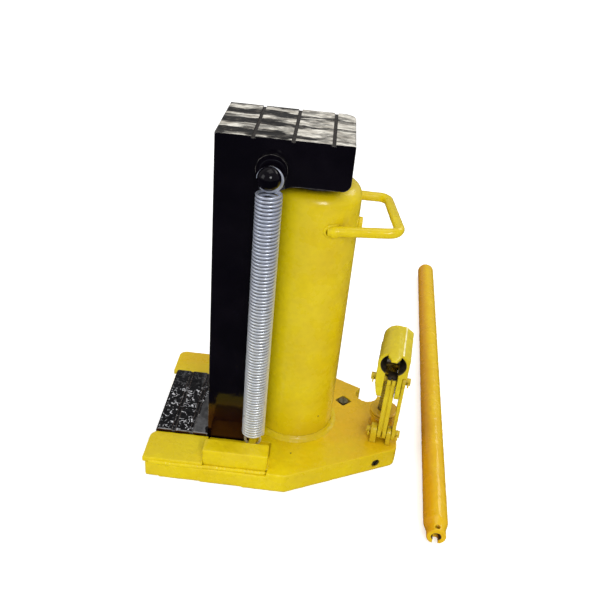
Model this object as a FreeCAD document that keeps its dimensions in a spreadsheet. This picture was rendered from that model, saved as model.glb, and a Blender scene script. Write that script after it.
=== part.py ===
import FreeCAD, Part
import math
import os
import re

import Sketcher
from FreeCAD import Placement, Rotation, Vector

# A hydraulic toe jack at rest.  Millimetres.  The origin lies on the floor, on the axis of the
# lifting ram.  +X points to the hand pump, -X to the toe and +Z up; the release valve and the
# mouth of the lever socket are on the -Y side.

SIZES = {
    # base plate: a hexagon in plan, with a slot that the arm and the toe sink into
    "base_front": 151.0, "base_front_half": 98.0, "base_corner": 2.0, "base_corner_half": 102.0,
    "base_rear": 120.0, "base_rear_half": 41.0, "base_round": 9.0, "base_high": 24.0,
    "fork_high": 19.0, "fork_end": 21.4, "land_half": 53.0,
    "slot_half": 49.0, "slot_end": 45.2, "toe_slot_half": 54.5, "toe_slot_end": 90.2,
    "cap_front": 154.0, "cap_out": 97.0, "cap_top": 24.6, "cap_round": 9.0,
    "block_in": 75.7, "block_out": 95.2, "block_top": 41.8, "block_round": 1.5,
    "scallop_x": 87.0, "scallop_y": 50.0, "scallop_radius": 13.0,
    # oil ways, stoppers and valves in the base
    "gallery_radius": 2.5, "gallery_z": 7.0, "gallery_inner": 12.0, "port_radius": 2.0,
    "stopper_radius": 4.5, "stopper_long": 6.0, "stopper_key": 2.5,
    "check_ball_radius": 2.4, "check_ball_x": 84.0, "check_spring_long": 12.0,
    "oil_plug_x": 58.5, "oil_plug_y": 33.7, "oil_plug_radius": 4.0, "oil_plug_long": 12.0,
    "oil_plug_head": 5.4, "oil_recess": 14.0, "oil_recess_deep": 3.0, "plug_slot": 1.6,
    "valve_x": 98.0, "valve_z": 9.0, "valve_radius": 4.0, "valve_fit": 0.05,
    "valve_mouth": 5.0, "valve_mouth_deep": 5.0, "valve_deep": 26.0, "valve_stub": 1.0,
    "valve_ball_radius": 3.0,
    # jacket, pressure barrel and gland
    "jacket_radius": 44.0, "jacket_wall": 5.0, "jacket_top": 317.0, "jacket_round": 13.0,
    "jacket_lid": 9.0, "jacket_weld": 6.0, "weld_front": 40.0,
    "barrel_bore": 25.0, "barrel_wall": 5.0, "gland_deep": 25.0,
    "ram_radius": 22.0, "ram_fit": 0.05, "ram_spigot": 20.0, "spigot_top": 350.0,
    "piston_low": 40.0, "piston_high": 66.0, "piston_fit": 0.06, "seal_deep": 3.0,
    "piston_seal_low": 48.0, "piston_seal_tall": 7.0,
    "rod_seal_low": 290.0, "rod_seal_tall": 6.0, "wiper_low": 311.0, "wiper_tall": 4.0,
    # head, arm and toe in one forging
    "head_front": 92.6, "head_rear": 30.2, "head_half": 48.0, "head_top": 368.0,
    "head_under": 325.5, "arm_inner": 46.0, "arm_low": 3.0, "arm_round": 30.0,
    "head_round": 8.0, "jacket_gap_radius": 45.0, "jacket_gap_top": 328.0,
    "corner_round": 12.0,
    "toe_tip": 149.5, "toe_half": 53.9, "toe_top": 27.0, "toe_chamfer": 2.0,
    "groove_wide": 3.4, "groove_deep": 1.6, "head_groove_first": 59.0, "head_groove_pitch": 35.0,
    "toe_groove_front": 130.0, "toe_groove_rear": 110.0, "edge_round": 1.5,
    # return springs with their studs and anchor pins
    "spring_x": 41.0, "spring_y": 60.4, "spring_radius": 11.8, "spring_wire": 1.4,
    "coil_low": 41.2, "coil_high": 324.6, "coil_pitch": 6.0, "spring_core": 9.2,
    "loop_low_radius": 8.2, "loop_high_radius": 11.0,
    "anchor_z": 31.0, "anchor_radius": 4.0, "anchor_inner": 50.5,
    "stud_z": 340.2, "stud_ball": 10.5, "stud_ball_y": 71.5, "stud_neck": 4.2,
    "stud_collar": 14.4, "collar_thick": 3.6,
    # carrying handle and filler plug on the jacket
    "grip_radius": 4.9, "grip_z": 283.0, "grip_rise": 5.0, "grip_side": 41.5,
    "grip_start": 14.0, "grip_near": 82.0, "grip_far": 72.5, "grip_bend": 10.0,
    "grip_weld": 5.8, "weld_x": 21.0,
    "filler_z": 276.0, "filler_radius": 4.0, "filler_head": 6.2, "filler_out": 47.8,
    "filler_in": 36.5,
    # hand pump: sizes along U, V and Z of its own frame, which is turned about the plunger
    "pump_x": 103.8, "pump_yaw": 7.5,
    "pump_radius": 13.0, "pump_top": 38.0, "pump_spigot": 10.0, "pump_spigot_low": 12.0,
    "pump_floor": 2.0, "nut_lip": 16.0, "nut_neck": 13.6, "nut_ring": 3.0, "nut_rings": 3,
    "plunger_radius": 7.0, "plunger_fit": 0.05,
    "plunger_low": 27.2, "packing_radius": 10.0, "packing_low": 31.0,
    "plunger_eye": 6.8, "plunger_eye_half": 6.85, "plunger_pin_z": 115.0,
    "pin_radius": 4.0, "pin_fit": 0.05, "pin_low_z": 36.5, "pin_high_z": 111.0, "pin_v": 28.0,
    "link_left": 3.5, "link_right": 6.5, "link_eye": 8.0, "link_waist": 6.0, "link_groove": 1.4,
    "lug_thick": 6.8, "lug_gap": 0.5, "lug_round": 8.0, "pin_proud": 5.0,
    "strap_in": 12.4, "strap_thick": 4.0, "strap_gap": 0.4,
    "cheek_gap": 7.0, "cheek_thick": 9.0, "cheek_front": 40.0, "cheek_lobe": 12.0,
    "cheek_drop": 11.0, "cheek_rear_half": 13.6, "cheek_step": 10.0, "cheek_bevel": 5.0,
    "cheek_bevel_z": 110.0, "cheek_rear_lobe": 11.0, "cheek_top": 131.5, "cheek_rear": 10.0,
    "open_slot_half": 4.8, "open_slot_long": 2.4, "open_slot_shift": 1.0,
    "socket_z": 137.0, "socket_bore": 13.0, "socket_wall": 3.5, "socket_taper": 1.5,
    "socket_mouth": 40.0, "socket_far": 16.0, "socket_stop": 3.0,
    "tongue_half": 6.6, "tongue_tip": 2.8, "tongue_long": 14.0,
    "flank_out": 16.8, "flank_low": 122.5, "flank_high": 145.5, "ridge": 8.5, "ridge_z": 151.5,
    "cotter_radius": 1.0, "cotter_hole": 1.1, "cotter_long": 11.0, "cotter_eye": 2.0,
    "clip_proud": 2.4, "clip_thick": 1.0, "clip_rim": 1.5, "clip_floor": 0.8,
    # loose lever
    "lever_tip_x": 155.6, "lever_tip_y": 148.5, "lever_turn": 3.9, "lever_long": 567.0,
    "lever_radius": 12.5, "lever_wall": 3.0, "lever_neck": 10.0, "lever_neck_long": 8.5,
    "lever_cone": 8.5, "lever_notch": 5.5, "lever_notch_deep": 8.0, "lever_hole": 2.5,
    "lever_hole_at": 5.0, "lever_throat": 4.5, "lever_end_round": 6.0,
}

doc = FreeCAD.newDocument("ToeJack")
sheet = doc.addObject("Spreadsheet::Sheet", "Sizes")
for row, (alias, value) in enumerate(SIZES.items(), 1):
    sheet.set(f"A{row}", alias)
    sheet.set(f"B{row}", str(value))
    sheet.setAlias(f"B{row}", alias)
doc.recompute()

WORD = re.compile(r"\b(" + "|".join(sorted(SIZES, key=len, reverse=True)) + r")\b")
UP = Vector(0, 0, 1)
AXES = {"X": Vector(1, 0, 0), "Y": Vector(0, 1, 0), "Z": UP}
PARTS = []


def size(name):
    """One driving dimension, read from the sheet."""
    return getattr(sheet, name)


def linked(text):
    """A formula of bare names, rewritten to point at the sheet's cells."""
    return WORD.sub(r"Sizes.\1", text)


def amount(text):
    """The value of a formula of sheet names, worked out by the sheet itself."""
    return float(sheet.evalExpression(linked(text)))


def bind(item, formulas):
    """Binds properties of an object to formulas of sheet names."""
    for prop, text in formulas.items():
        item.setExpression(prop, linked(text))


def bind_place(item, at):
    bind(item, {f"Placement.Base.{axis}": text for axis, text in zip("xyz", at)})


def block(label, low, high):
    """A box between two corners, each given as three formulas."""
    item = doc.addObject("Part::Box", label)
    spans = [f"({b}) - ({a})" for a, b in zip(low, high)]
    bind(item, dict(zip(("Length", "Width", "Height"), spans)))
    bind_place(item, low)
    return item


def rod(label, radius, length, at, direction="Z"):
    """A cylinder that starts at a point and runs along a direction."""
    item = doc.addObject("Part::Cylinder", label)
    along = AXES[direction] if isinstance(direction, str) else direction
    item.Placement = Placement(Vector(), Rotation(UP, along))
    bind(item, {"Radius": radius, "Height": length})
    bind_place(item, at)
    return item


def ball(label, radius, at):
    item = doc.addObject("Part::Sphere", label)
    bind(item, {"Radius": radius})
    bind_place(item, at)
    return item


def hoop(label, mean_radius, wire_radius, at, direction="Z"):
    item = doc.addObject("Part::Torus", label)
    item.Placement = Placement(Vector(), Rotation(UP, AXES[direction]))
    bind(item, {"Radius1": mean_radius, "Radius2": wire_radius})
    bind_place(item, at)
    return item


def fuse(label, *items):
    item = doc.addObject("Part::MultiFuse", label)
    item.Shapes = list(items)
    return item


def cut(label, base, *tools):
    item = doc.addObject("Part::Cut", label)
    item.Base = base
    item.Tool = tools[0] if len(tools) == 1 else fuse(label + "_tools", *tools)
    return item


def group(label, *items):
    """Separate solids that share one node."""
    item = doc.addObject("Part::Compound", label)
    item.Links = list(items)
    return item


def sketch_on(body, role, points, offset=None):
    """A closed outline of straight edges whose corners are bound to the sheet."""
    plane = next(o for o in body.Origin.OriginFeatures if o.Role == role)
    sketch = body.newObject("Sketcher::SketchObject", body.Name + "_outline")
    sketch.AttachmentSupport = [(plane, "")]
    sketch.MapMode = "FlatFace"
    if offset:
        bind(sketch, {"AttachmentOffset.Base.z": offset})
    corners = [Vector(amount(a), amount(b), 0) for a, b in points]
    for start, end in zip(corners, corners[1:] + corners[:1]):
        sketch.addGeometry(Part.LineSegment(start, end), False)
    for index in range(len(corners)):
        follower = (index + 1) % len(corners)
        sketch.addConstraint(Sketcher.Constraint("Coincident", index, 2, follower, 1))
    for index, (corner, texts) in enumerate(zip(corners, points)):
        for kind, reach, text in zip(("DistanceX", "DistanceY"), corner, texts):
            number = sketch.addConstraint(Sketcher.Constraint(kind, -1, 1, index, 1, reach))
            sketch.setExpression(f"Constraints[{number}]", linked(text))
    return sketch


def plate(label, role, points, thickness, offset=None, symmetric=False):
    """A body padded from one outline."""
    body = doc.addObject("PartDesign::Body", label)
    sketch = sketch_on(body, role, points, offset)
    pad = body.newObject("PartDesign::Pad", label + "_pad")
    pad.Profile = sketch
    pad.SideType = "Symmetric" if symmetric else "One side"
    bind(pad, {"Length": thickness})
    body.Tip = pad
    return body


def turned(label, points):
    """A body turned about its Z axis from (radius, height) corners."""
    body = doc.addObject("PartDesign::Body", label)
    sketch = sketch_on(body, "XZ_Plane", points)
    revolution = body.newObject("PartDesign::Revolution", label + "_turn")
    revolution.Profile = sketch
    revolution.ReferenceAxis = (sketch, ["V_Axis"])
    revolution.Angle = 360
    body.Tip = revolution
    return body


def tube(label, inner, outer, low, high):
    return turned(label, [(inner, low), (outer, low), (outer, high), (inner, high)])


def rounded(label, base, radius, wanted):
    """Rounds the edges whose middle point passes a test."""
    doc.recompute()
    chosen = []
    for number, edge in enumerate(base.Shape.Edges, 1):
        middle = edge.valueAt((edge.FirstParameter + edge.LastParameter) / 2)
        if wanted(middle, edge):
            chosen.append((number, size(radius), size(radius)))
    item = doc.addObject("Part::Fillet", label)
    item.Base = base
    item.Edges = chosen
    return item


def near(a, b, slack=0.01):
    return abs(a - b) < slack


def done(item, label=None):
    """Marks an object as one finished piece of the jack."""
    if label:
        item.Label = label
    PARTS.append(item)
    return item


# ---------------------------------------------------------------- base

TAPER = math.hypot(size("base_rear") + size("base_corner"),
                   size("base_corner_half") - size("base_rear_half"))
NORMAL = Vector((size("base_corner_half") - size("base_rear_half")) / TAPER,
                -(size("base_rear") + size("base_corner")) / TAPER, 0)
VALVE_Y = ("(-base_corner_half + (valve_x + base_corner)"
           " * (base_corner_half - base_rear_half) / (base_rear + base_corner))")


def on_valve_axis(depth):
    """Formulas for the point on the release valve's axis at a depth below the tapered face."""
    return (f"valve_x - ({depth}) * {NORMAL.x!r}",
            f"{VALVE_Y} - ({depth}) * {NORMAL.y!r}", "valve_z")


def make_base():
    half_outline = [("-base_front", "base_front_half"), ("-base_corner", "base_corner_half"),
                    ("base_rear", "base_rear_half")]
    outline = half_outline + [(a, "-" + b) for a, b in reversed(half_outline)]
    slab = plate("base_slab", "XY_Plane", outline, "base_high")
    soft = rounded("base_rounded", slab, "base_round",
                   lambda p, e: near(p.z, size("base_high") / 2) and p.x > size("base_rear") - 1)
    tools = [
        block("arm_slot", ("-base_front - 1", "-slot_half", "-1"),
              ("-slot_end", "slot_half", "base_high + 1")),
        block("toe_slot", ("-base_front - 1", "-toe_slot_half", "-1"),
              ("-toe_slot_end", "toe_slot_half", "base_high + 1")),
        block("fork_step", ("-base_front - 1", "-base_corner_half - 1", "fork_high"),
              ("-slot_end", "base_corner_half + 1", "base_high + 1")),
        rod("scallop", "scallop_radius", "base_high + 2", ("scallop_x", "scallop_y", "-1")),
        rod("pump_seat", "pump_spigot", "base_high", ("pump_x", "0", "pump_spigot_low")),
        rod("pump_port", "port_radius", "pump_spigot_low - gallery_z",
            ("pump_x", "0", "gallery_z")),
        rod("gallery", "gallery_radius", "base_rear - gallery_inner",
            ("gallery_inner", "0", "gallery_z"), "X"),
        rod("gallery_mouth", "stopper_radius", "stopper_long + 1",
            ("base_rear - stopper_long", "0", "gallery_z"), "X"),
        rod("barrel_port", "port_radius", "base_high",
            ("gallery_inner + 2 * port_radius", "0", "gallery_z")),
        rod("oil_plug_hole", "oil_plug_radius", "base_high",
            ("oil_plug_x", "oil_plug_y", "base_high - oil_plug_long")),
        rod("valve_bore", "valve_radius + valve_fit", "valve_deep + 1",
            on_valve_axis("valve_deep"), NORMAL),
        rod("valve_recess", "valve_mouth", "valve_mouth_deep + 1",
            on_valve_axis("valve_mouth_deep"), NORMAL),
    ]
    for side, low, high in (("near", "-base_corner_half - 1", "-land_half"),
                            ("far", "land_half", "base_corner_half + 1")):
        tools.append(block("fork_ledge_" + side, ("-slot_end - 1", low, "fork_high"),
                           ("-fork_end", high, "base_high + 1")))
    recess = block("oil_recess_cut", ("-oil_recess / 2", "-oil_recess / 2", "0"),
                   ("oil_recess / 2", "oil_recess / 2", "oil_recess"))
    recess.Placement = Placement(Vector(), Rotation(UP, 45))
    bind_place(recess, ("oil_plug_x", "oil_plug_y - oil_recess / sqrt(2)",
                        "base_high - oil_recess_deep"))
    tools.append(recess)
    done(cut("base_plate", soft, *tools))


def make_fork_tops():
    """Cap strips and guide blocks, one of each on both forks."""
    for side, sign in (("near", -1), ("far", 1)):
        low, high = ("toe_slot_half", "cap_out") if sign > 0 else ("-cap_out", "-toe_slot_half")
        strip = block("cap_blank_" + side, ("-cap_front", low, "fork_high"),
                      ("-toe_slot_end", high, "cap_top"))
        corner = amount(high)
        done(rounded("fork_cap_" + side, strip, "cap_round",
                     lambda p, e: near(p.x, -size("cap_front")) and near(p.y, corner)
                     and e.Length < size("fork_high")))
        low, high = ("block_in", "block_out") if sign > 0 else ("-block_out", "-block_in")
        blank = block("guide_blank_" + side, ("-toe_slot_end", low, "fork_high"),
                      ("-fork_end", high, "block_top"))
        done(rounded("guide_block_" + side, blank, "block_round",
                     lambda p, e: p.z > size("fork_high") + 1))


def make_base_fittings():
    """Stoppers, plugs, balls and valve pieces that live in the base."""
    stopper = rod("stopper_blank", "stopper_radius", "stopper_long - 0.5",
                  ("base_rear - stopper_long", "0", "gallery_z"), "X")
    key = rod("stopper_socket", "stopper_key", "stopper_long / 2 + 1",
              ("base_rear - stopper_long / 2", "0", "gallery_z"), "X")
    done(cut("gallery_stopper", stopper, key))
    done(ball("check_ball", "check_ball_radius", ("check_ball_x", "0", "gallery_z")))
    spring = rod("check_spring_blank", "check_ball_radius", "check_spring_long",
                 ("check_ball_x - check_ball_radius - check_spring_long - 0.3", "0", "gallery_z"),
                 "X")
    hollow = rod("check_spring_hollow", "check_ball_radius - 0.6", "check_spring_long + 2",
                 ("check_ball_x - check_ball_radius - check_spring_long - 1.3", "0", "gallery_z"),
                 "X")
    done(cut("check_spring", spring, hollow))

    shank = rod("oil_plug_shank", "oil_plug_radius", "oil_plug_long - oil_recess_deep",
                ("oil_plug_x", "oil_plug_y", "base_high - oil_plug_long"))
    head = rod("oil_plug_head_blank", "oil_plug_head", "oil_recess_deep",
               ("oil_plug_x", "oil_plug_y", "base_high - oil_recess_deep"))
    slot = block("oil_plug_slot",
                 ("oil_plug_x - plug_slot / 2", "oil_plug_y - 10", "base_high - plug_slot"),
                 ("oil_plug_x + plug_slot / 2", "oil_plug_y + 10", "base_high + 1"))
    done(cut("oil_plug", fuse("oil_plug_solid", shank, head), slot))

    spindle = rod("valve_blank", "valve_radius",
                  "valve_deep - 2 * valve_ball_radius - 0.2 - valve_stub",
                  on_valve_axis("valve_deep - 2 * valve_ball_radius - 0.2"), NORMAL)
    tip = block("valve_slot", ("-plug_slot / 2", "-valve_mouth", "-2"),
                ("plug_slot / 2", "valve_mouth", "2"))
    tip.Placement = Placement(Vector(), Rotation(UP, NORMAL))
    across = Rotation(UP, NORMAL).multVec(Vector(-size("plug_slot") / 2, -size("valve_mouth"), 0))
    start = on_valve_axis("valve_stub + 2")
    bind_place(tip, [f"{text} + {shift!r}" for text, shift in zip(start, across)])
    done(cut("release_valve", spindle, tip))
    done(ball("release_ball", "valve_ball_radius",
              on_valve_axis("valve_deep - valve_ball_radius - 0.05")))


# ---------------------------------------------------------------- cylinder and ram

def make_cylinder():
    blank = turned("jacket_blank", [
        ("jacket_radius - jacket_wall", "base_high"), ("jacket_radius", "base_high"),
        ("jacket_radius", "jacket_top"), ("barrel_bore + barrel_wall", "jacket_top"),
        ("barrel_bore + barrel_wall", "jacket_top - jacket_lid"),
        ("jacket_radius - jacket_wall", "jacket_top - jacket_lid")])
    soft = rounded("jacket_rounded", blank, "jacket_round",
                   lambda p, e: near(p.z, size("jacket_top"))
                   and near(math.hypot(p.x, p.y), size("jacket_radius")))
    hole = rod("filler_hole", "filler_radius", "jacket_radius", ("filler_in - 2", "0", "filler_z"),
               "X")
    done(cut("jacket_tube", soft, hole))

    bead = turned("bead_blank", [
        ("jacket_radius", "base_high"), ("jacket_radius + jacket_weld", "base_high"),
        ("jacket_radius + jacket_weld * 0.35", "base_high + jacket_weld * 0.35"),
        ("jacket_radius", "base_high + jacket_weld")])
    front = block("bead_front", ("-jacket_radius - 10", "-land_half", "0"),
                  ("-weld_front", "land_half", "base_high * 2"))
    done(cut("jacket_weld", bead, front), "jacket_weld")

    done(tube("pressure_barrel", "barrel_bore", "barrel_bore + barrel_wall", "base_high",
              "jacket_top - jacket_lid"))
    bore = "ram_radius + ram_fit"
    groove = "ram_radius + seal_deep - 0.8"
    done(turned("cylinder_gland", [
        (bore, "jacket_top - jacket_lid - gland_deep"),
        ("barrel_bore", "jacket_top - jacket_lid - gland_deep"),
        ("barrel_bore", "jacket_top - jacket_lid"),
        ("barrel_bore + barrel_wall", "jacket_top - jacket_lid"),
        ("barrel_bore + barrel_wall", "jacket_top"),
        (bore, "jacket_top"),
        (bore, "wiper_low + wiper_tall"), (groove, "wiper_low + wiper_tall"),
        (groove, "wiper_low"), (bore, "wiper_low"),
        (bore, "rod_seal_low + rod_seal_tall"), (groove, "rod_seal_low + rod_seal_tall"),
        (groove, "rod_seal_low"), (bore, "rod_seal_low")]))
    for label, low, tall in (("rod_seal", "rod_seal_low", "rod_seal_tall"),
                             ("wiper_ring", "wiper_low", "wiper_tall")):
        done(tube(label, "ram_radius + ram_fit / 2", groove, low, f"{low} + {tall}"))


def make_ram():
    done(turned("lifting_ram", [
        ("0", "piston_low + 6"), ("16", "piston_low + 6"), ("16", "piston_high"),
        ("ram_radius", "piston_high"), ("ram_radius", "jacket_gap_top"),
        ("ram_spigot", "jacket_gap_top"), ("ram_spigot", "spigot_top"), ("0", "spigot_top")]))
    edge = "barrel_bore - piston_fit"
    floor = "barrel_bore - seal_deep"
    done(turned("piston", [
        ("0", "piston_low"), (edge, "piston_low"), (edge, "piston_seal_low"),
        (floor, "piston_seal_low"), (floor, "piston_seal_low + piston_seal_tall"),
        (edge, "piston_seal_low + piston_seal_tall"), (edge, "piston_high"),
        ("16", "piston_high"), ("16", "piston_low + 6"), ("0", "piston_low + 6")]))
    done(tube("piston_seal", floor, "barrel_bore - piston_fit / 3", "piston_seal_low",
              "piston_seal_low + piston_seal_tall"))


# ---------------------------------------------------------------- head, arm and toe

def make_carriage():
    profile = plate("carriage_profile", "XZ_Plane", [
        ("-head_front", "arm_low"), ("-head_front", "head_top"), ("head_rear", "head_top"),
        ("head_rear", "head_under"), ("-arm_inner", "head_under"), ("-arm_inner", "arm_low")],
        "2 * head_half", symmetric=True)
    corner = rounded("carriage_corner", profile, "arm_round",
                     lambda p, e: near(p.x, -size("arm_inner")) and near(p.z, size("head_under"))
                     and e.Length > 50)
    nose = rounded("carriage_nose", corner, "head_round",
                   lambda p, e: near(p.x, size("head_rear")) and near(p.z, size("head_under"))
                   and e.Length > 50)
    far_corner = rounded("carriage_far_corner", nose, "corner_round",
                         lambda p, e: near(p.x, size("head_rear")) and near(p.y, size("head_half"))
                         and e.Length > size("head_round") * 2)
    edges = rounded("carriage_edges", far_corner, "edge_round",
                    lambda p, e: near(p.z, size("head_top")) and p.x > size("head_rear") / 2)
    toe = plate("toe_profile", "XZ_Plane", [
        ("-toe_tip + toe_chamfer", "arm_low"), ("-toe_tip", "arm_low + toe_chamfer"),
        ("-toe_tip", "toe_top - toe_chamfer"), ("-toe_tip + toe_chamfer", "toe_top"),
        ("-head_front", "toe_top"), ("-head_front", "arm_low")],
        "2 * toe_half", symmetric=True)
    blank = fuse("carriage_blank", edges, toe)
    tools = [rod("jacket_space", "jacket_gap_radius", "jacket_gap_top", ("0", "0", "0")),
             rod("ram_seat", "ram_spigot", "spigot_top - jacket_gap_top",
                 ("0", "0", "jacket_gap_top"))]
    places = [(f"-head_groove_first + {step} * head_groove_pitch", "head_top")
              for step in range(3)]
    places += [("-toe_groove_front", "toe_top"), ("-toe_groove_rear", "toe_top")]
    for number, (middle, top) in enumerate(places, 1):
        tools.append(block(f"grip_groove_{number}",
                           (f"{middle} - groove_wide / 2", "-toe_half - 1",
                            f"{top} - groove_deep"),
                           (f"{middle} + groove_wide / 2", "toe_half + 1", f"{top} + 1")))
    done(cut("lift_carriage", blank, *tools))


def make_springs():
    """Both return springs, each with its ball stud above and its anchor pin below."""
    count = int(amount("(coil_high - coil_low) / coil_pitch"))
    ridge, valley = "spring_radius", "spring_radius - spring_wire"
    wall = [("0", "coil_low"), (valley, "coil_low")]
    for turn in range(count):
        base = f"coil_low + (coil_high - coil_low) / {count} * "
        wall += [(ridge, f"{base}({turn} + 0.5)"), (valley, f"{base}({turn} + 1)")]
    closed = "spring_wire"
    wall += [("0", "coil_high"), ("0", f"coil_high - {closed}"),
             ("spring_core", f"coil_high - {closed}"), ("spring_core", f"coil_low + {closed}"),
             ("0", f"coil_low + {closed}")]
    for side, sign in (("near", "-"), ("far", "")):
        line = f"{sign}spring_y"
        coil = turned("coil_" + side, wall)
        bind_place(coil, ("-spring_x", line, "0"))
        low_loop = hoop("low_loop_" + side, "loop_low_radius", "spring_wire",
                        ("-spring_x", line, "coil_low + spring_wire / 2 - loop_low_radius"), "Y")
        high_loop = hoop("high_loop_" + side, "loop_high_radius", "spring_wire",
                         ("-spring_x", line, "coil_high - spring_wire / 2 + loop_high_radius"),
                         "Y")
        done(fuse("return_spring_" + side, coil, low_loop, high_loop))

        out = Vector(0, -1 if sign else 1, 0)
        collar = rod("stud_collar_" + side, "stud_collar", "collar_thick",
                     ("-spring_x", f"{sign}head_half", "stud_z"), out)
        neck = rod("stud_neck_" + side, "stud_neck", "stud_ball_y - head_half",
                   ("-spring_x", f"{sign}head_half", "stud_z"), out)
        knob = ball("stud_ball_" + side, "stud_ball",
                    ("-spring_x", f"{sign}stud_ball_y", "stud_z"))
        done(fuse("spring_stud_" + side, collar, neck, knob))
        done(rod("spring_anchor_" + side, "anchor_radius", "block_in - anchor_inner",
                 ("-spring_x", f"{sign}block_in", "anchor_z"), -out))


# ---------------------------------------------------------------- handle and filler plug

def make_grip():
    """A bent round bar welded to both flanks of the jacket."""
    z = size("grip_z")
    high = z + size("grip_rise")
    side = size("grip_side")
    points = [Vector(size("grip_start"), -side, z), Vector(size("grip_near"), -side, high),
              Vector(size("grip_far"), side, high), Vector(size("grip_start"), side, high)]
    path = Part.Wire(bent_edges(points, size("grip_bend")))
    along = points[1] - points[0]
    section = Part.Wire(Part.Circle(points[0], along, size("grip_radius")).toShape())
    bar = path.makePipeShell([section], True, False)
    jacket = Part.makeCylinder(size("jacket_radius"), 2 * size("grip_weld") + 30,
                               Vector(0, 0, z - size("grip_weld") - 10))
    lumps = [Part.makeSphere(size("grip_weld"), Vector(size("weld_x"), sign * side, height))
             for sign, height in ((-1, z), (1, high))]
    item = doc.addObject("Part::Feature", "carry_handle")
    item.Shape = bar.fuse(lumps).cut(jacket).removeSplitter()
    done(item)


def bent_edges(points, radius):
    """Straight runs through the points, joined by tangent arcs of one radius."""
    edges = []
    start = points[0]
    for before, corner, after in zip(points, points[1:], points[2:]):
        into = (corner - before).normalize()
        away = (after - corner).normalize()
        half_turn = into.getAngle(away) / 2
        reach = radius * math.tan(half_turn)
        first = corner - into * reach
        last = corner + away * reach
        inward = (away - into).normalize()
        middle = corner + inward * (radius / math.cos(half_turn) - radius)
        edges.append(Part.LineSegment(start, first).toShape())
        edges.append(Part.Arc(first, middle, last).toShape())
        start = last
    edges.append(Part.LineSegment(start, points[-1]).toShape())
    return edges


def make_filler():
    shank = rod("filler_shank", "filler_radius", "filler_out - filler_in - 1",
                ("filler_in", "0", "filler_z"), "X")
    head = rod("filler_head_blank", "filler_head", "filler_out - jacket_radius + 4",
               ("jacket_radius - 4", "0", "filler_z"), "X")
    jacket = rod("filler_cope", "jacket_radius", "4 * filler_head",
                 ("0", "0", "filler_z - 2 * filler_head"))
    done(fuse("filler_plug", cut("filler_head_coped", head, jacket), shank))


# ---------------------------------------------------------------- hand pump

def in_pump(item):
    """Moves a piece from the pump's own frame to its place on the base."""
    item.Placement = Placement(Vector(size("pump_x"), 0, 0), Rotation(UP, -size("pump_yaw")))
    bind(item, {"Placement.Base.x": "pump_x"})
    return item


def make_pump_barrel():
    bore = "plunger_radius + plunger_fit"
    done(in_pump(turned("pump_barrel", [
        (bore, "pump_spigot_low + pump_floor"), (bore, "packing_low"), ("packing_radius", "packing_low"),
        ("packing_radius", "pump_top"), ("pump_radius", "pump_top"),
        ("pump_radius", "base_high"), ("pump_spigot", "base_high"),
        ("pump_spigot", "pump_spigot_low"), ("port_radius", "pump_spigot_low"),
        ("port_radius", "pump_spigot_low + pump_floor")])))
    done(in_pump(tube("pump_packing", "plunger_radius + plunger_fit / 2", "packing_radius",
                      "packing_low", "pump_top")))
    wall = [(bore, "pump_top")]
    for ring in range(int(size("nut_rings"))):
        foot = f"pump_top + {ring} * nut_ring"
        wall += [("nut_neck", foot), ("nut_lip", f"{foot} + nut_ring * 0.25"),
                 ("nut_lip", f"{foot} + nut_ring * 0.75")]
    crown = "pump_top + nut_rings * nut_ring"
    wall += [("nut_neck", crown), (bore, crown)]
    done(in_pump(turned("pump_gland_nut", wall)))


def make_plunger():
    stem = rod("plunger_stem", "plunger_radius", "plunger_pin_z - 3 - plunger_low",
               ("0", "0", "plunger_low"))
    eye = rod("plunger_eye_blank", "plunger_eye", "2 * plunger_eye_half",
              ("-plunger_eye_half", "0", "plunger_pin_z"), "X")
    sides = [block(f"plunger_flat_{name}", (low, "-12", "plunger_pin_z - 30"),
                   (high, "12", "plunger_pin_z + 12"))
             for name, low, high in (("left", "-12", "-plunger_eye_half"),
                                     ("right", "plunger_eye_half", "12"))]
    hole = rod("plunger_eye_hole", "pin_radius", "20", ("-10", "0", "plunger_pin_z"), "X")
    done(in_pump(cut("pump_plunger", fuse("plunger_blank", stem, eye), hole, *sides)))


def link_blank(label, low, high):
    """A straight link between both pins, from one U to another, with its holes still to be cut."""
    web = block(f"{label}_web", (low, "-pin_v - link_waist", "pin_low_z"),
                (high, "-pin_v + link_waist", "pin_high_z"))
    eyes = [rod(f"{label}_eye_{end}", "link_eye", f"{high} - ({low})", (low, "-pin_v", z), "X")
            for end, z in (("low", "pin_low_z"), ("high", "pin_high_z"))]
    holes = [rod(f"{label}_hole_{end}", "pin_radius + pin_fit", "40", ("-20", "-pin_v", z), "X")
             for end, z in (("low", "pin_low_z"), ("high", "pin_high_z"))]
    return fuse(f"{label}_blank", web, *eyes), holes


def make_links():
    """The grooved link in the middle and the plain strap outside the right lug."""
    middle = "(link_right - link_left) / 2"
    blank, holes = link_blank("link", "-link_left", "link_right")
    groove = block("link_front_groove",
                   (f"{middle} - link_groove / 2", "-pin_v - link_eye - 1", "pin_low_z - 10"),
                   (f"{middle} + link_groove / 2", "-pin_v - link_waist + link_groove",
                    "pin_high_z + 10"))
    done(in_pump(cut("fulcrum_link", blank, groove, *holes)))
    blank, holes = link_blank("strap", "strap_in", "strap_in + strap_thick")
    done(in_pump(cut("link_strap", blank, *holes)))


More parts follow.
